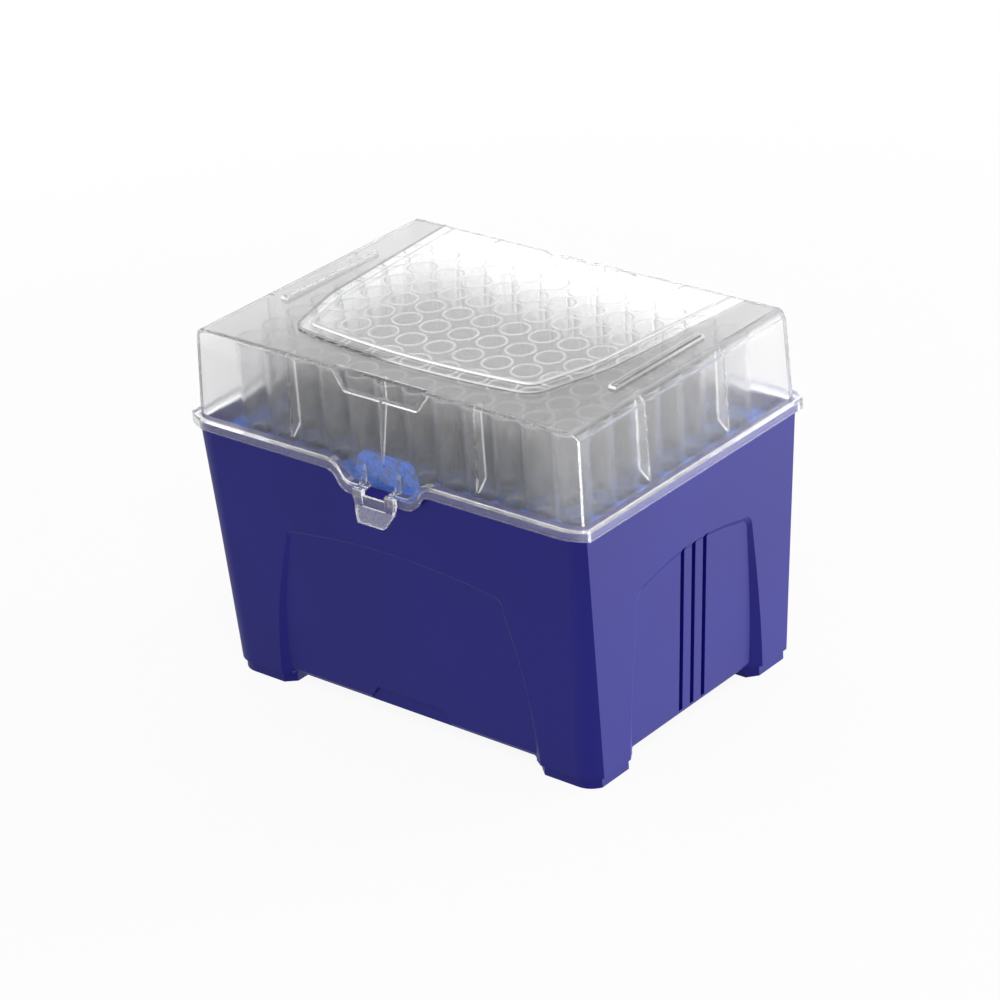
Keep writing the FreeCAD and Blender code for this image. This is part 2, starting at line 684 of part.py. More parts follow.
def under_slope(rise_front, rise_back):
    """Everything under a plane that leans from the window's front up or down to its back."""
    front = -LID_HEAD.half_width
    back = LID_HEAD.half_width
    return along_x([(front, 0), (back, 0), (back, LID_TOP + rise_back),
                    (front, LID_TOP + rise_front)], -FAR, FAR)


def window():
    """Two low terraces that fall away towards the back edge of the lid."""
    half_length, half_width = LID_HEAD.half_length, LID_HEAD.half_width
    z = LID_TOP - LID_WALL / 2
    back = (half_length - WINDOW_END_MARGIN, half_width - WINDOW_BACK_MARGIN)
    knee = (half_length - WINDOW_KNEE_MARGIN, WINDOW_KNEE_FROM_FRONT - half_width)
    corner = (half_length - WINDOW_CORNER_MARGIN, WINDOW_CORNER_FROM_FRONT - half_width)
    crown = Vector(0, WINDOW_CROWN_FROM_FRONT - half_width, z)
    right = [Vector(x, y, z) for x, y in (back, knee, corner)]
    left = [Vector(-x, y, z) for x, y in (corner, knee, back)]
    wire = Part.Wire([
        line(right[0], right[1]), line(right[1], right[2]), arc(right[2], crown, left[0]),
        line(left[0], left[1]), line(left[1], left[2]), line(left[2], right[0])])
    outer = Part.Face(wire).extrude(Vector(0, 0, LID_WALL * 2))
    outer = outer.makeFillet(WINDOW_KNEE_ROUND, upright_edges(outer, *knee))
    outer = outer.makeFillet(WINDOW_CORNER_ROUND, upright_edges(outer, *corner))
    floor = [face for face in outer.Faces if face.BoundBox.ZMax < z + 0.01][0]
    inner = floor.makeOffset2D(-WINDOW_BORDER).extrude(Vector(0, 0, LID_WALL * 2))
    inner = inner.common(block(-FAR, FAR, -FAR, back[1] - WINDOW_BORDER_BACK, 0, FAR))
    return [outer.common(under_slope(WINDOW_STEP_FRONT, WINDOW_STEP_BACK)),
            inner.common(under_slope(2 * WINDOW_STEP_FRONT, 2 * WINDOW_STEP_BACK))]


def stacking_bar():
    """Low bar at the +X end of the lid's top."""
    x = LID_HEAD.half_length - BAR_MARGIN - BAR_WIDTH
    bar = block(x, x + BAR_WIDTH, -BAR_LENGTH / 2, BAR_LENGTH / 2,
                LID_TOP - LID_WALL / 2, LID_TOP + BAR_HEIGHT)
    top = [edge for edge in bar.Edges if edge.BoundBox.ZMin > LID_TOP + BAR_HEIGHT - 0.01]
    return bar.makeChamfer(BAR_CHAMFER, top)


def pocket(grow, depth):
    """Tapered finger pocket of the front long side, open at the top."""
    slope = (POCKET_HALF_TOP - POCKET_HALF_BOTTOM) / POCKET_HEIGHT
    low = LID_TOP - POCKET_HEIGHT - grow
    high = LID_TOP + BAR_HEIGHT
    bottom = POCKET_HALF_BOTTOM + grow - slope * grow
    top = POCKET_HALF_TOP + grow + slope * BAR_HEIGHT
    return along_y([(-bottom, low), (bottom, low), (top, high), (-top, high)],
                   -FAR, -LID_HEAD.half_width + depth)


def grip_ribs():
    """Upright ribs standing in the back pocket."""
    face = LID_HEAD.half_width - POCKET_DEPTH
    low = LID_TOP - POCKET_HEIGHT - LID_WALL / 2
    high = LID_TOP - POCKET_HEIGHT + GRIP_HEIGHT
    return [block(x - GRIP_WIDTH / 2, x + GRIP_WIDTH / 2, face - LID_WALL / 2, face + GRIP_DEPTH,
                  low, high) for x in evenly(GRIP_COUNT, GRIP_PITCH)]


def fin_profile(inner_wall, depth):
    """Deep at the ceiling, then tapering back into the wall."""
    ceiling = LID_TOP - LID_WALL / 2
    straight = LID_TOP - LID_WALL - FIN_STRAIGHT
    return [(inner_wall - depth, ceiling), (inner_wall - depth, straight),
            (inner_wall + LID_WALL / 2, straight - FIN_TAPER),
            (FAR, straight - FIN_TAPER), (FAR, ceiling)]


def fins():
    """All fins and gussets kept when the lid is hollowed."""
    half = FIN_THICKNESS / 2
    end_wall = LID_HEAD.half_length - LID_WALL
    side_wall = LID_HEAD.half_width - LID_WALL
    end_fin = along_y(fin_profile(end_wall, END_FIN_DEPTH), END_FIN_Y - half, END_FIN_Y + half)
    side_fin = along_x(fin_profile(side_wall, SIDE_FIN_DEPTH), SIDE_FIN_X - half, SIDE_FIN_X + half)
    backing = side_wall - POCKET_DEPTH + 0.1
    low = LID_TOP - POCKET_HEIGHT - LID_WALL
    gusset = along_x([(backing - GUSSET_DEPTH / 2, LID_TOP - LID_WALL / 2),
                      (backing - GUSSET_DEPTH / 2, low),
                      (side_wall + LID_WALL, low - GUSSET_HEIGHT), (FAR, low - GUSSET_HEIGHT),
                      (FAR, LID_TOP - LID_WALL / 2)], -half, half)
    return four_corners(end_fin) + four_corners(side_fin) + both_sides(gusset)


def clip(hinge_y, hinge_z):
    """Clip that snaps over the base's peg, hanging from the flange at the +X hinge."""
    radius = PEG_RADIUS + PEG_CLEARANCE + CLIP_WALL
    low = HINGE_X - CLIP_WIDTH / 2
    high = HINGE_X + CLIP_WIDTH / 2
    inner = hinge_y - radius
    outer = hinge_y + radius
    shoulder = along_x([(inner, hinge_z), (outer, hinge_z), (outer, SKIRT_BOTTOM),
                        (FLANGE.half_width, FLANGE_TOP), (inner, FLANGE_TOP)], low, high)
    ring = rod(radius, low, high, hinge_y, hinge_z)
    bore = rod(PEG_RADIUS + PEG_CLEARANCE, low, high, hinge_y, hinge_z)
    mouth = block(low, high, hinge_y - CLIP_MOUTH / 2, hinge_y + CLIP_MOUTH / 2,
                  hinge_z - radius, hinge_z)
    return shoulder.fuse(ring).cut([bore, mouth])


def blade():
    """Curved blade that props the front wall on the dipped flange, at +X."""
    root = -LID_FOOT.half_width + LID_WALL / 2
    face = -LID_FOOT.half_width
    edge = -FLANGE.half_width
    low = FLANGE_TOP - DIP_DEPTH
    sheet = low - FLANGE_THICKNESS / 2
    high = FLANGE_TOP + BLADE_ABOVE_FLANGE
    x = BLADE_X - BLADE_THICKNESS / 2
    middle = Vector(x, (face + edge) / 2 + BLADE_HOLLOW, (low + high) / 2 - BLADE_HOLLOW)
    wire = Part.Wire([
        line(Vector(x, root, high), Vector(x, face, high)),
        arc(Vector(x, face, high), middle, Vector(x, edge, low)),
        line(Vector(x, edge, low), Vector(x, edge, sheet)),
        line(Vector(x, edge, sheet), Vector(x, root, sheet)),
        line(Vector(x, root, sheet), Vector(x, root, high))])
    return Part.Face(wire).extrude(Vector(BLADE_THICKNESS, 0, 0))


def make_lid(hinge_y, hinge_z):
    inside_front = -LID_FOOT.half_width + LID_WALL * 1.5
    below = SKIRT_BOTTOM - 2 * DIP_DEPTH
    flange = upright(FLANGE, SKIRT_BOTTOM, FLANGE_TOP)
    flange_dip = upright(FLANGE, SKIRT_BOTTOM - DIP_DEPTH, SKIRT_BOTTOM).common(
        dip(SKIRT_BOTTOM, 2 * DIP_SPREAD, -FAR, inside_front))
    solid = hood(0, FLANGE_UNDERSIDE).fuse([flange, flange_dip] + window() + both_ends(stacking_bar()))

    under_flange = upright(SKIRT_INSIDE, below, FLANGE_UNDERSIDE).cut(
        dip(FLANGE_UNDERSIDE, DIP_SPREAD, -FAR, inside_front))
    backing = pocket(LID_WALL, POCKET_DEPTH + LID_WALL)
    inside = hood(LID_WALL, below).cut(both_sides(backing) + fins())
    cuts = both_sides(pocket(0, POCKET_DEPTH))
    cuts += [dip(FLANGE_TOP, 0, -FAR, -LID_FOOT.half_width), under_flange, inside]
    solid = solid.cut(cuts)

    passage = LATCH_WINDOW_HALF
    solid = solid.cut(block(-passage, passage, -FAR, -BEAD.half_width + SKIRT_CLEARANCE,
                            below, FLANGE_TOP - DIP_DEPTH))
    added = grip_ribs() + both_ends(blade()) + both_ends(clip(hinge_y, hinge_z))
    return solid.fuse(added).removeSplitter()


# ---------------------------------------------------------------- latch

def make_latch(back, pivot_z):
    """Two arms from the pivot, the bar that hooks the catch, and a flared lip to pull."""
    front = back - LATCH_THICKNESS
    radius = LATCH_THICKNESS / 2
    top = pivot_z + radius
    bend = top - LATCH_BEND_DROP
    lip = top - LATCH_LIP_DROP
    lip_front = front - LATCH_LIP_REACH
    side = along_x([(back, pivot_z), (back, bend - radius / 2),
                    (lip_front + LATCH_LIP_THICKNESS, lip), (lip_front, lip), (front, bend),
                    (front, pivot_z)], -LATCH_HALF_WIDTH, LATCH_HALF_WIDTH)
    knuckle = rod(radius, -LATCH_HALF_WIDTH, LATCH_HALF_WIDTH, back - radius, pivot_z)
    half_outline = [(LATCH_HALF_LIP, lip), (LATCH_HALF_WAIST, top - LATCH_WAIST_DROP),
                    (LATCH_HALF_WIDTH, top - LATCH_SHOULDER_DROP), (LATCH_HALF_WIDTH, top)]
    outline = half_outline + [(-x, z) for x, z in reversed(half_outline)]
    solid = side.fuse(knuckle).common(along_y(outline, -FAR, 0))
    bar_top = top - LATCH_BAR_DROP
    opening = block(-LATCH_WINDOW_HALF, LATCH_WINDOW_HALF, -FAR, 0, bar_top, FAR)
    panel = block(-LATCH_WINDOW_HALF, LATCH_WINDOW_HALF, -FAR, front + LATCH_PANEL_DEPTH,
                  bend, FAR)
    return solid.cut([opening, panel]).removeSplitter()


# ---------------------------------------------------------------- the whole box

HINGE_Y = FLANGE.half_width + HINGE_OUTSTAND
HINGE_Z = SKIRT_BOTTOM - HINGE_BELOW_SKIRT
LATCH_BACK = -FLANGE.half_width - LATCH_GAP
LATCH_PIVOT_Z = FLANGE_TOP - DIP_DEPTH - LATCH_THICKNESS / 2

nodes = {
    "base": make_base(HINGE_Y, HINGE_Z, LATCH_BACK, LATCH_PIVOT_Z),
    "rack_plate": make_rack_plate(),
    "lid": make_lid(HINGE_Y, HINGE_Z),
    "latch": make_latch(LATCH_BACK, LATCH_PIVOT_Z),
}
tip = make_tip()
for number, x in enumerate(evenly(TIP_COLUMNS, TIP_PITCH), 1):
    nodes["tips_column_%02d" % number] = make_tip_column(tip, x)

os.makedirs("parts", exist_ok=True)
for name, shape in nodes.items():
    shape.exportStep("parts/" + name + ".step")
    solids = len(shape.Solids)
    bounds = shape.BoundBox
    print("%-16s %2d solid(s) valid=%s volume=%.0f  X %.2f..%.2f  Y %.2f..%.2f  Z %.2f..%.2f" % (
        name, solids, shape.isValid(), shape.Volume, bounds.XMin, bounds.XMax,
        bounds.YMin, bounds.YMax, bounds.ZMin, bounds.ZMax))
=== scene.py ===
"""Box of pipette tips: finishes for the moulded pieces, studio and camera."""

import math

import bpy
from mathutils import Matrix, Vector


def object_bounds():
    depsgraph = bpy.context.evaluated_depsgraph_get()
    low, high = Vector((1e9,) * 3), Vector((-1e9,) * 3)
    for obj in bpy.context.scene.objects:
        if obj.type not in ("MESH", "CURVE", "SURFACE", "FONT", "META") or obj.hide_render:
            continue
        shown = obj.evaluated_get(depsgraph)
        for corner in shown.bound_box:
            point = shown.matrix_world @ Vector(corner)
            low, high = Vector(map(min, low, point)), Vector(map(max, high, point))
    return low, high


bl_info = {
    "name": "Pipette tip box",
    "version": (1, 0, 0),
    "blender": (4, 5, 0),
    "location": "View3D > Sidebar > Tip box",
    "description": "Dresses the box of pipette tips and sets up its studio",
    "category": "Object",
}

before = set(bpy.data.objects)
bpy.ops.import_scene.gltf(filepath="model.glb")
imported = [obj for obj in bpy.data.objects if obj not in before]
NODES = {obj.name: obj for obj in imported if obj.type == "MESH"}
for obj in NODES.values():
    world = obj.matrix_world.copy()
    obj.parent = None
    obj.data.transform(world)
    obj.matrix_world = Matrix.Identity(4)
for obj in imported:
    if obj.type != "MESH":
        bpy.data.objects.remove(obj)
CAD_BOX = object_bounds()
TIP_NODES = sorted(name for name in NODES if name.startswith("tips_column"))

BARS_TOP = CAD_BOX[1].z
TIP_TOP = max(corner[2] for corner in NODES[TIP_NODES[0]].bound_box)

# The polished window on top of the lid, in metres. Its sides are straight behind and in front of
# a knee, and its front bows forwards.
WINDOW_FRONT = -0.0325
WINDOW_BOW = 2.1
WINDOW_KNEE_HALF = 0.0438
WINDOW_KNEE_PLACE = -0.0090
WINDOW_SLOPE_BACK = 0.0847
WINDOW_SLOPE_FRONT = 0.295
WINDOW_KNEE_BLEND = 0.001
WINDOW_CORNER_BLEND = 0.004
WINDOW_BORDER = 0.0037
EDGE_SOFT = 0.0002

# Painted highlight and painted shade along the window's border, in metres; the shade is painted on
# the border's left half only
RIB_WIDTH = 0.0007
SHADE_OUTSIDE = 0.0003
SHADE_WIDTH = 0.0010
SHADE_FADE = 0.01

# Levels of the lid, in metres below the tops of its stacking bars
TERRACE_FOOT = 0.00106
TERRACE_SOFT = 0.00003
CEILING_HIGH = 0.0016
CEILING_LOW = 0.0029
CEILING_SOFT = 0.0001
TOP_WALL_LOW = 0.0032
BARS_FROM_MIDDLE = 0.0495
BARS_SOFT = 0.0001

# How far a surface turns from upright (0) to level (1) where the lid's finish, its painted shade
# on the top and its painted highlights along the folds change
LEVEL_FROM = 0.7
LEVEL_FULL = 0.9
FOLD_NEAR_TOP = (0.90, 0.965)
FOLD_NEAR_WALL = (0.17, 0.30)
FOLD_SOFT = 0.02

# Clear plastics: shares of painted highlight (white frost), of painted shade (dimming), roughness
# and what shadows let through
POLISHED = 0.02
TOP_SMOOTHER = 0.06
TOP_PAINTED_SHADE = 0.55
BAR_PAINTED_HIGHLIGHT = 0.4
STEP_PAINTED_HIGHLIGHT = 0.3
RIB_PAINTED_HIGHLIGHT = 0.7
FOLD_PAINTED_HIGHLIGHT = 0.25
BEND_PAINTED_HIGHLIGHT = 0.05
LATCH_BEND_PAINTED_HIGHLIGHT = 0.25
TIP_RIM_PAINTED_HIGHLIGHT = 0.32
TIP_RIM_HEIGHT = 0.0003
LID_VEIL = 0.93
TIP_VEIL = 0.6

# Clear plastics: the grain, as spots per metre, the tint's share in the grain's pale tone, and its
# share in the darkest painted shade
CLEAR_GRAIN = 1800.0
FROST_LEAST = 0.3
FROST_SWING = 1.4
PALE = 0.92
PAINTED_SHADE_TONE = 0.15

# How much of the floor near the box is plain white, the rest taking the shadow
FLOOR_PLAIN = 0.92
FLOOR_REACH = 6.0


# ------------------------------------------------------------------ shader expressions

class Value:
    """A number socket that can be used in Python arithmetic."""

    def __init__(self, shader, socket):
        self.shader = shader
        self.socket = socket

    def _math(self, operation, *terms):
        node = self.shader.node("ShaderNodeMath", {"operation": operation},
                                dict(enumerate(terms)))
        return Value(self.shader, node.outputs[0])

    def __add__(self, other):
        return self._math("ADD", self, other)

    def __radd__(self, other):
        return self._math("ADD", other, self)

    def __sub__(self, other):
        return self._math("SUBTRACT", self, other)

    def __rsub__(self, other):
        return self._math("SUBTRACT", other, self)

    def __mul__(self, other):
        return self._math("MULTIPLY", self, other)

    def __rmul__(self, other):
        return self._math("MULTIPLY", other, self)

    def __abs__(self):
        return self._math("ABSOLUTE", self)

    def larger(self, other):
        return self._math("MAXIMUM", self, other)

    def smaller(self, other, blend):
        """The smaller of two, with the corner between them rounded."""
        return self._math("SMOOTH_MIN", self, other, blend)

    def band(self, low, high, soft):
        """1 between low and high, 0 outside, with soft edges."""
        return self.ramp(low - soft, low) * (1.0 - self.ramp(high, high + soft))

    def clamped(self):
        node = self.shader.node("ShaderNodeClamp", {}, {"Value": self})
        return Value(self.shader, node.outputs[0])

    def ramp(self, low, high):
        """0 at low, 1 at high, easing in and out."""
        node = self.shader.node("ShaderNodeMapRange", {"interpolation_type": "SMOOTHSTEP"},
                                {"Value": self, "From Min": low, "From Max": high})
        return Value(self.shader, node.outputs["Result"])


class Shader:
    """A material's node tree, built by expressions."""

    def __init__(self, name):
        self.material = bpy.data.materials.new(name)
        self.material.use_nodes = True
        self.tree = self.material.node_tree
        self.tree.nodes.clear()

    @classmethod
    def of_tree(cls, tree):
        """Builds in a tree that is there already, such as a world's."""
        shader = cls.__new__(cls)
        shader.tree = tree
        tree.nodes.clear()
        return shader

    def node(self, kind, settings=None, sockets=None):
        made = self.tree.nodes.new(kind)
        for name, setting in (settings or {}).items():
            setattr(made, name, setting)
        for key, given in (sockets or {}).items():
            target = made.inputs[key]
            if isinstance(given, Value):
                given = given.socket
            if isinstance(given, bpy.types.NodeSocket):
                self.tree.links.new(given, target)
            else:
                target.default_value = given
        return made

    def place(self):
        """Object-space position in metres."""
        return self.node("ShaderNodeTexCoord").outputs["Object"]

    def axis(self, name):
        split = self.node("ShaderNodeSeparateXYZ", {}, {0: self.place()})
        return Value(self, split.outputs[name])

    def facing(self, name):
        """One component of the surface's direction, in object space."""
        normal = self.node("ShaderNodeTexCoord").outputs["Normal"]
        split = self.node("ShaderNodeSeparateXYZ", {}, {0: normal})
        return Value(self, split.outputs[name])

    def bends(self):
        """1 where the surface turns from one of the box's own directions to another, else 0."""
        x, y, z = (abs(self.facing(name)) for name in "XYZ")
        return 1.0 - x.larger(y).larger(z).ramp(0.85, 0.98)

    def noise(self, scale, detail=3.0, roughness=0.5):
        made = self.node("ShaderNodeTexNoise", {},
                         {"Vector": self.place(), "Scale": scale, "Detail": detail,
                          "Roughness": roughness})
        return Value(self, made.outputs["Fac"])

    def mix(self, share, one, other):
        made = self.node("ShaderNodeMix", {"data_type": "RGBA"},
                         {"Factor": share, 6: one, 7: other})
        return made.outputs[2]

    def bump(self, height, strength, distance):
        made = self.node("ShaderNodeBump", {},
                         {"Height": height, "Strength": strength, "Distance": distance})
        return made.outputs["Normal"]

    def surface(self, output):
        self.node("ShaderNodeOutputMaterial", {}, {"Surface": output})
        return self.material


def satin_plastic(name, colour, deep, rough, grain, bump, speckle=None, painted_end_sheen=0.0):
    """Opaque moulded plastic: slow colour drift, fine grain, and a painted sheen on the ends, a
    coat only on faces turned along X.
    """
    shader = Shader(name)
    drift = shader.noise(18.0, 2.0).ramp(0.3, 0.7)
    grain_noise = shader.noise(grain, 4.0, 0.6)
    base = shader.mix(drift, (*deep, 1.0), (*colour, 1.0))
    if speckle:
        base = shader.mix(shader.noise(700.0, 3.0, 0.7).ramp(0.50, 0.62), base, (*speckle, 1.0))
    body = shader.node("ShaderNodeBsdfPrincipled", {}, {
        "Base Color": base,
        "Roughness": rough + (grain_noise - 0.5) * 0.12,
        "IOR": 1.49,
        "Specular IOR Level": 0.24,
        # Painted sheen: an extra coat only on faces turned along X brightens the ends
        "Coat Weight": abs(shader.facing("X")).ramp(0.85, 0.97) * painted_end_sheen,
        "Coat Roughness": 0.35,
        "Normal": shader.bump(grain_noise, bump, 0.00008),
    })
    return shader.surface(body.outputs[0])


def grey(level):
    return (level, level, level, 1.0)


def clear_plastic(shader, tint, rough, frost, white, veil, painted_shade=0.0):
    """Clear plastic that bends light, with grainy frost, white frost for painted highlights and a
    darker base colour for painted shade; its shadow stays light.
    """
    tint = Vector(tint)
    grain = shader.noise(CLEAR_GRAIN, 2.0, 0.6)
    speck = grain.ramp(0.38, 0.62)
    grained = shader.mix(speck, (*(tint * PALE), 1.0), (*tint, 1.0))
    body = shader.node("ShaderNodeBsdfPrincipled", {}, {
        # Painted shade: the base colour darkens towards its darkest tone where asked
        "Base Color": shader.mix(painted_shade, grained, (*(tint * PAINTED_SHADE_TONE), 1.0)),
        "Roughness": rough,
        "IOR": 1.45,
        "Transmission Weight": 1.0,
        "Normal": shader.bump(grain, 0.1, 0.00003),
    })
    glow = shader.node("ShaderNodeBsdfTranslucent", {}, {"Color": (*tint, 1.0)})
    chalk = shader.node("ShaderNodeBsdfDiffuse", {}, {"Color": (*tint, 1.0)})
    cloud = shader.node("ShaderNodeMixShader", {},
                        {0: 0.5, 1: glow.outputs[0], 2: chalk.outputs[0]})
    clouded = shader.node("ShaderNodeMixShader", {}, {
        # White frost share: grainy frost plus the painted highlights passed in as white
        0: (speck * FROST_SWING * frost + FROST_LEAST * frost + white).clamped(),
        1: body.outputs[0],
        2: cloud.outputs[0],
    })
    clear = shader.node("ShaderNodeBsdfTransparent", {}, {"Color": grey(veil)})
    shadow = shader.node("ShaderNodeLightPath").outputs["Is Shadow Ray"]
    both = shader.node("ShaderNodeMixShader", {},
                       {0: shadow, 1: clouded.outputs[0], 2: clear.outputs[0]})
    return shader.surface(both.outputs[0])


def window_depth(across, along):
    """How far a place on the lid's top lies inside the window's outline, in metres."""
    past_knee = along - WINDOW_KNEE_PLACE
    half = (past_knee * WINDOW_SLOPE_BACK + WINDOW_KNEE_HALF).smaller(
        past_knee * WINDOW_SLOPE_FRONT + WINDOW_KNEE_HALF, WINDOW_KNEE_BLEND)
    front = WINDOW_FRONT + across * across * WINDOW_BOW
    return (half - abs(across)).smaller(along - front, WINDOW_CORNER_BLEND)


def lid_plastic(name, tint, rough, frost):
    """Frosted everywhere but in the polished window on top, with painted highlights of white frost
    along the folds, bends, steps, bars and window border, and painted shade on the level top and
    the border's left half.
    """
    shader = Shader(name)
    across, along, up = shader.axis("X"), shader.axis("Y"), shader.axis("Z")
    inwards = window_depth(across, along)
    below_bars = BARS_TOP - up
    level = abs(shader.facing("Z"))

    # The terraces stand above the top round them, and the bars stand beside them
    proud = (TERRACE_FOOT - below_bars).ramp(-TERRACE_SOFT, 0.0)
    raised = proud * (BARS_FROM_MIDDLE - abs(across)).ramp(-BARS_SOFT, BARS_SOFT)
    ceiling = below_bars.band(CEILING_HIGH, CEILING_LOW, CEILING_SOFT)
    polished = raised + inwards.ramp(-EDGE_SOFT, EDGE_SOFT) * ceiling
    matt = 1.0 - polished

    rib = raised * inwards.band(WINDOW_BORDER - EDGE_SOFT, WINDOW_BORDER + RIB_WIDTH, EDGE_SOFT)
    step = proud * (1.0 - level).ramp(0.3, 0.6)
    folds = level.band(*FOLD_NEAR_TOP, FOLD_SOFT) + level.band(*FOLD_NEAR_WALL, FOLD_SOFT)
    # Painted shade: a dark strip along the left half of the window border
    left = (0.0 - across).ramp(0.0, SHADE_FADE)
    shade = raised * inwards.band(-SHADE_OUTSIDE, SHADE_WIDTH, EDGE_SOFT) * left
    top_wall = (TOP_WALL_LOW - below_bars).ramp(0.0, EDGE_SOFT)
    # Painted shade: the level matt top is darkened, and made a little smoother
    top = matt * level.ramp(LEVEL_FROM, LEVEL_FULL) * top_wall

    # Painted highlights: white frost on step faces, bars, a strip inside the window border, folds
    # and bends
    painted_highlights = step * (BAR_PAINTED_HIGHLIGHT + raised * STEP_PAINTED_HIGHLIGHT) + rib * RIB_PAINTED_HIGHLIGHT
    white = painted_highlights * (1.0 - shade) + folds * FOLD_PAINTED_HIGHLIGHT * matt + shader.bends() * BEND_PAINTED_HIGHLIGHT
    return clear_plastic(shader, tint, POLISHED + matt * rough - top * TOP_SMOOTHER,
                         matt * frost, white, LID_VEIL, top * TOP_PAINTED_SHADE + shade)


def latch_plastic(name, tint, rough, frost):
    """Clear in its flats, with a painted highlight of white frost where it bends."""
    shader = Shader(name)
    # Painted highlight: white frost where the latch bends
    return clear_plastic(shader, tint, rough, frost, shader.bends() * LATCH_BEND_PAINTED_HIGHLIGHT, LID_VEIL)


def tip_plastic(name, tint, rough, frost):
    """Clear, with a painted highlight of white frost round the moulded rim of the mouth."""
    shader = Shader(name)
    rim = (shader.axis("Z") - TIP_TOP).ramp(-TIP_RIM_HEIGHT, -TIP_RIM_HEIGHT / 3)
    # Painted highlight: white frost on a thin band at the top of the rim
    return clear_plastic(shader, tint, rough, frost, rim * TIP_RIM_PAINTED_HIGHLIGHT, TIP_VEIL)


def dress(name, material):
    """Gives a CAD node its finish."""
    mesh = NODES[name].data
    if not mesh.materials:
        mesh.materials.append(material)
    for index in range(len(mesh.materials)):
        mesh.materials[index] = material
    for slot in NODES[name].material_slots:
        slot.material = material


# ------------------------------------------------------------------ sizes and colours

class TIPBOX_colours(bpy.types.PropertyGroup):
    base: bpy.props.FloatVectorProperty(
        name="Base", description="Colour of the base", subtype="COLOR", size=3,
        default=(0.008, 0.007, 0.195), min=0.0, max=1.0)
    base_deep: bpy.props.FloatVectorProperty(
        name="Base, deep", description="Darker tone the base drifts to", subtype="COLOR", size=3,
        default=(0.007, 0.006, 0.175), min=0.0, max=1.0)
    plate: bpy.props.FloatVectorProperty(
        name="Rack plate", description="Colour of the rack plate", subtype="COLOR", size=3,
        default=(0.010, 0.180, 0.880), min=0.0, max=1.0)
    clear: bpy.props.FloatVectorProperty(
        name="Clear plastic", description="Tint of the lid, latch and tips", subtype="COLOR",
        size=3, default=(0.98, 0.98, 0.985), min=0.0, max=1.0)


class TIPBOX_studio(bpy.types.PropertyGroup):
    azimuth: bpy.props.FloatProperty(
        name="Azimuth", description="Camera's angle round the box", subtype="ANGLE",
        default=math.radians(41.02))
    elevation: bpy.props.FloatProperty(
        name="Elevation", description="Camera's angle above the table", subtype="ANGLE",
        default=math.radians(26.28))
    roll: bpy.props.FloatProperty(
        name="Roll", description="Camera's tilt about its own line of sight", subtype="ANGLE",
        default=math.radians(-4.22))
    surround: bpy.props.FloatProperty(
        name="Surroundings", description="Light from all around", default=0.55, min=0.0)
    back: bpy.props.FloatProperty(
        name="Back light", description="Lamp behind the box", unit="POWER", default=1.2, min=0.0)
    side: bpy.props.FloatProperty(
        name="Side light", description="Lamp at the right end", unit="POWER",
        default=25.0, min=0.0)
    key: bpy.props.FloatProperty(
        name="Key light", description="Lamp above the near corner", unit="POWER",
        default=3.0, min=0.0)
    distance: bpy.props.FloatProperty(
        name="Distance", description="From the camera to the point it looks at", unit="LENGTH",
        default=0.8873)
    lens: bpy.props.FloatProperty(
        name="Lens", description="Focal length", unit="CAMERA", default=127.84)
    aim: bpy.props.FloatVectorProperty(
        name="Aim", description="Point the camera looks at", subtype="XYZ", size=3,
        default=(-0.00115, 0.00075, 0.045))


# ------------------------------------------------------------------ pieces

class TIPBOX_OT_base(bpy.types.Operator):
    """Finishes the base in deep blue satin plastic"""
    bl_idname = "tipbox.base"
    bl_label = "Base"

    def execute(self, context):
        colours = context.scene.tipbox_colours
        dress("base", satin_plastic("base_blue", colours.base, colours.base_deep, rough=0.50,
                                    grain=2600.0, bump=0.25, painted_end_sheen=0.42))
        return {"FINISHED"}


class TIPBOX_OT_rack(bpy.types.Operator):
    """Finishes the rack plate in azure plastic"""
    bl_idname = "tipbox.rack"
    bl_label = "Rack plate"

    def execute(self, context):
        plate = Vector(context.scene.tipbox_colours.plate)
        dress("rack_plate", satin_plastic("plate_azure", plate, plate * 0.85, rough=0.40,
                                          grain=2200.0, bump=0.3,
                                          speckle=(0.045, 0.085, 0.260)))
        return {"FINISHED"}


class TIPBOX_OT_lid(bpy.types.Operator):
    """Finishes the lid and the latch in clear plastic"""
    bl_idname = "tipbox.lid"
    bl_label = "Lid and latch"

    def execute(self, context):
        tint = context.scene.tipbox_colours.clear
        dress("lid", lid_plastic("lid_clear", tint, rough=0.13, frost=0.05))
        dress("latch", latch_plastic("latch_clear", tint, rough=0.10, frost=0.04))
        return {"FINISHED"}


class TIPBOX_OT_tips(bpy.types.Operator):
    """Finishes the tips in thin clear plastic"""
    bl_idname = "tipbox.tips"
    bl_label = "Tips"

    def execute(self, context):
        tint = context.scene.tipbox_colours.clear
        material = tip_plastic("tip_clear", Vector(tint) * 0.93, rough=0.02, frost=0.03)
        for name in TIP_NODES:
            dress(name, material)
        return {"FINISHED"}


# ------------------------------------------------------------------ studio

def soft_light(name, place, aim, size, power):
    lamp = bpy.data.lights.new(name, "AREA")
    lamp.shape = "RECTANGLE"
    lamp.size, lamp.size_y = size
    lamp.energy = power
    holder = bpy.data.objects.new(name, lamp)
    holder.location = place
    holder.rotation_euler = (Vector(aim) - Vector(place)).to_track_quat("-Z", "Y").to_euler()
    bpy.context.scene.collection.objects.link(holder)


def seen_directly(shader):
    """1 for rays from the camera, from a mirror or through glass."""
    path = shader.node("ShaderNodeLightPath").outputs
    direct = Value(shader, path["Is Camera Ray"]) + Value(shader, path["Is Glossy Ray"])
    return (direct + Value(shader, path["Is Transmission Ray"])).clamped()


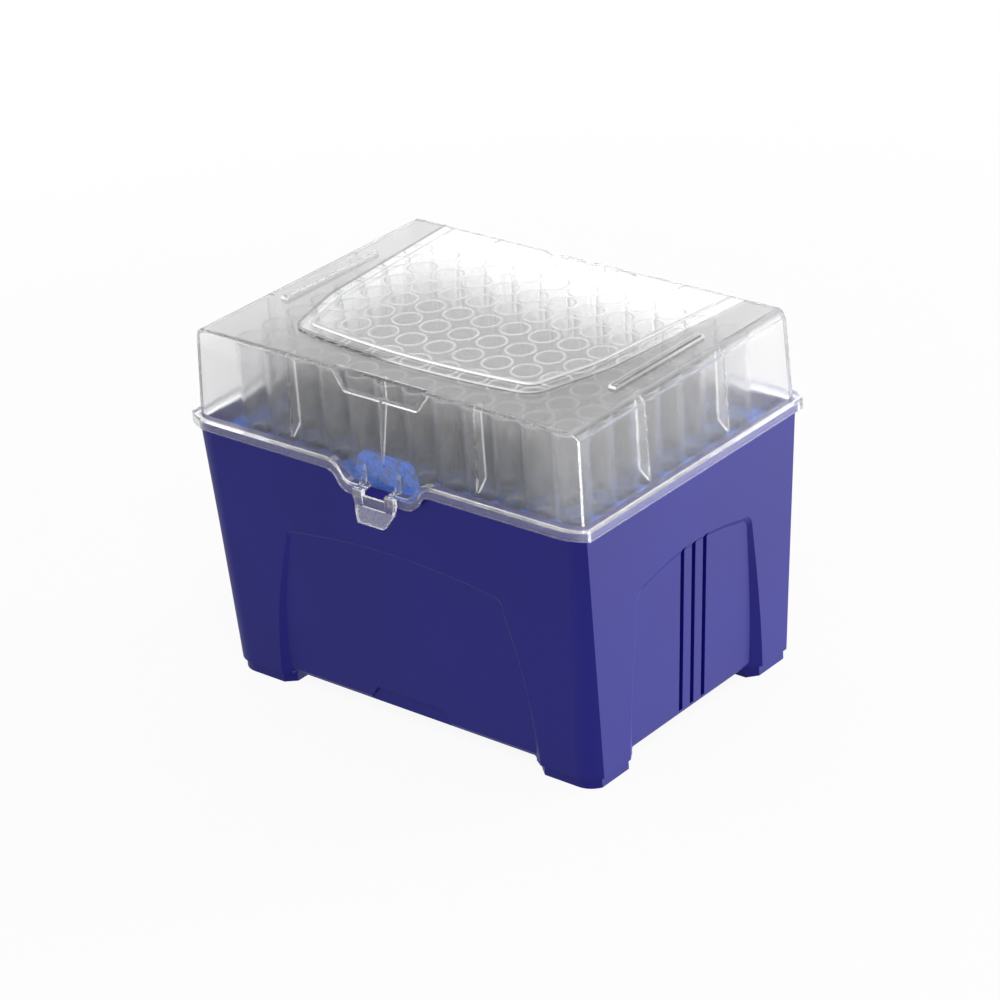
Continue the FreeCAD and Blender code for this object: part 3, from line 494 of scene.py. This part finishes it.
def floor_white():
    """White floor that keeps a soft shadow."""
    shader = Shader("floor_white")
    pale = shader.node("ShaderNodeBsdfDiffuse", {}, {"Color": grey(0.95)})
    white = shader.node("ShaderNodeEmission", {}, {"Color": grey(1.0)})
    across, along = shader.axis("X"), shader.axis("Y")
    far = (across * across + along * along).ramp(0.03, 0.20)
    plain = FLOOR_PLAIN + far * (1.0 - FLOOR_PLAIN)
    both = shader.node("ShaderNodeMixShader", {}, {
        0: seen_directly(shader) * plain,
        1: pale.outputs[0],
        2: white.outputs[0],
    })
    return shader.surface(both.outputs[0])


def white_world(surround):
    """Even surroundings that look white where they are seen."""
    world = bpy.data.worlds.new("studio_white")
    world.use_nodes = True
    shader = Shader.of_tree(world.node_tree)
    direct = seen_directly(shader)
    light = shader.node("ShaderNodeBackground", {}, {
        "Color": grey(1.0),
        "Strength": direct + (1.0 - direct) * surround,
    })
    shader.node("ShaderNodeOutputWorld", {}, {"Surface": light.outputs[0]})
    return world


class TIPBOX_OT_stage(bpy.types.Operator):
    """Sets up the floor, the lights, the surroundings and the camera"""
    bl_idname = "tipbox.stage"
    bl_label = "Studio"

    def execute(self, context):
        scene = context.scene
        studio = scene.tipbox_studio
        scene.view_settings.view_transform = "Standard"
        scene.cycles.transparent_max_bounces = 12
        scene.cycles.max_bounces = 16
        scene.cycles.transmission_bounces = 16
        scene.cycles.glossy_bounces = 12

        mesh = bpy.data.meshes.new("floor")
        corners = [(FLOOR_REACH * x, FLOOR_REACH * y, 0)
                   for x, y in ((-1, -1), (1, -1), (1, 1), (-1, 1))]
        mesh.from_pydata(corners, [], [(0, 1, 2, 3)])
        floor = bpy.data.objects.new("floor", mesh)
        scene.collection.objects.link(floor)
        mesh.materials.append(floor_white())

        scene.world = white_world(studio.surround)
        soft_light("back", (-0.70, 0.90, 0.50), (0, 0, 0.09), (0.75, 0.42), studio.back)
        soft_light("side", (0.68, 1.12, 0.10), (0, 0, 0.04), (0.5, 0.20), studio.side)
        soft_light("key", (0.62, -0.55, 0.85), (0, 0, 0.08), (0.35, 0.35), studio.key)

        camera = bpy.data.cameras.new("camera")
        camera.lens = studio.lens
        camera.sensor_width = 36.0
        camera.clip_start = 0.01
        camera.clip_end = 50.0
        holder = bpy.data.objects.new("camera", camera)
        back = Vector((math.cos(studio.elevation) * math.sin(studio.azimuth),
                       -math.cos(studio.elevation) * math.cos(studio.azimuth),
                       math.sin(studio.elevation)))
        level = back.to_track_quat("Z", "Y").to_matrix()
        turn = Matrix.Rotation(studio.roll, 3, "Z")
        place = Vector(studio.aim) + back * studio.distance
        holder.matrix_world = Matrix.Translation(place) @ (level @ turn).to_4x4()
        scene.collection.objects.link(holder)
        scene.camera = holder
        return {"FINISHED"}


class TIPBOX_PT_panel(bpy.types.Panel):
    """Lists the pieces of the tip box"""
    bl_idname = "TIPBOX_PT_panel"
    bl_label = "Tip box"
    bl_space_type = "VIEW_3D"
    bl_region_type = "UI"
    bl_category = "Tip box"

    def draw(self, context):
        layout = self.layout
        for operator in STEPS:
            layout.operator(operator.bl_idname)
        for group in (context.scene.tipbox_colours, context.scene.tipbox_studio):
            column = layout.column()
            for name in group.__annotations__:
                column.prop(group, name)


STEPS = (TIPBOX_OT_base, TIPBOX_OT_rack, TIPBOX_OT_tips, TIPBOX_OT_lid, TIPBOX_OT_stage)
CLASSES = (TIPBOX_colours, TIPBOX_studio, *STEPS, TIPBOX_PT_panel)


def register():
    for made in CLASSES:
        bpy.utils.register_class(made)
    bpy.types.Scene.tipbox_colours = bpy.props.PointerProperty(type=TIPBOX_colours)
    bpy.types.Scene.tipbox_studio = bpy.props.PointerProperty(type=TIPBOX_studio)


def unregister():
    del bpy.types.Scene.tipbox_studio
    del bpy.types.Scene.tipbox_colours
    for made in reversed(CLASSES):
        bpy.utils.unregister_class(made)


def main():
    register()
    bpy.ops.tipbox.base()
    bpy.ops.tipbox.rack()
    bpy.ops.tipbox.tips()
    bpy.ops.tipbox.lid()
    bpy.ops.tipbox.stage()


if __name__ == "__main__":
    main()
